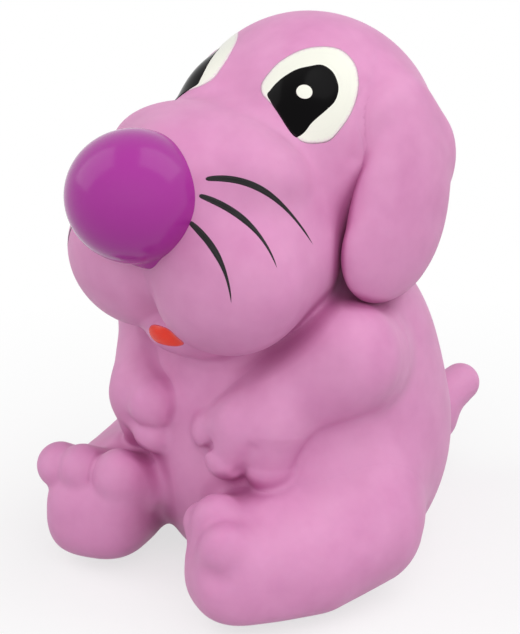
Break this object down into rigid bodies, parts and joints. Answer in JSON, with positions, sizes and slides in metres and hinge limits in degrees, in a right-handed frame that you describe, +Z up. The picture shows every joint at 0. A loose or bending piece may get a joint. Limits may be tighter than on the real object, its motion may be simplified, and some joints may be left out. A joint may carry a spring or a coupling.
{
  "type": "latex dog toy",
  "caption": "Hollow soft latex squeaky toy shaped as a sitting puppy with hanging ears, painted face, ball nose, stub tail and a squeaker in its flat base.",
  "frame": {"origin": "centre of the base, on the surface that the toy sits on", "axes": "+Z up; the puppy faces -Y; its left side is at +X"},
  "size_m": [0.0732, 0.1054, 0.1033],
  "materials": {
    "pink_latex": "satin, matt in the folds",
    "nose_paint": "gloss purple paint",
    "white_paint": "satin white paint",
    "black_paint": "gloss black paint",
    "red_paint": "satin red paint",
    "white_plastic": "moulded",
    "reed_plastic": "smooth sheet"
  },
  "bodies": {
    "body": {"torso": "pink_latex", "arm_left": "pink_latex", "arm_right": "pink_latex", "leg_left": "pink_latex", "leg_right": "pink_latex", "squeaker_cup": "white_plastic", "squeaker_seat": "white_plastic", "squeaker_cap": "white_plastic"},
    "head": {"head": "pink_latex", "nose": "nose_paint", "eye_white_left": "white_paint", "eye_white_right": "white_paint", "pupil_left": "black_paint", "pupil_right": "black_paint", "glint_left": "white_paint", "glint_right": "white_paint", "whisker_left_1": "black_paint", "whisker_left_2": "black_paint", "whisker_left_3": "black_paint", "whisker_right_1": "black_paint", "whisker_right_2": "black_paint", "whisker_right_3": "black_paint", "tongue": "red_paint"},
    "ear_left": {"ear_left": "pink_latex"},
    "ear_right": {"ear_right": "pink_latex"},
    "tail": {"tail": "pink_latex"},
    "reed": {"squeaker_reed": "reed_plastic"}
  },
  "joints": [
    {"name": "head_press", "type": "slide", "parent": "body", "child": "head", "axis": [0, 0, -1], "range_m": [0, 0.012], "stiffness_N_per_m": 800, "deforming": ["torso", "arm_left", "arm_right", "leg_left", "leg_right"]},
    {"name": "ear_left_lift", "type": "hinge", "parent": "head", "child": "ear_left", "pos_m": [0.0221, 0.0028, 0.0911], "axis": [0, -1, 0], "range_deg": [0, 20], "stiffness_Nm_per_rad": 0.01},
    {"name": "ear_right_lift", "type": "hinge", "parent": "head", "child": "ear_right", "pos_m": [-0.0221, 0.0028, 0.0911], "axis": [0, 1, 0], "range_deg": [0, 20], "stiffness_Nm_per_rad": 0.01},
    {"name": "tail_bend", "type": "hinge", "parent": "body", "child": "tail", "pos_m": [0, 0.027, 0.0118], "axis": [1, 0, 0], "range_deg": [-15, 15], "stiffness_Nm_per_rad": 0.01},
    {"name": "reed_flex", "type": "hinge", "parent": "body", "child": "reed", "pos_m": [0, 0.0025, 0.00805], "axis": [-1, 0, 0], "range_deg": [0, 6], "stiffness_Nm_per_rad": 0.000005}
  ]
}
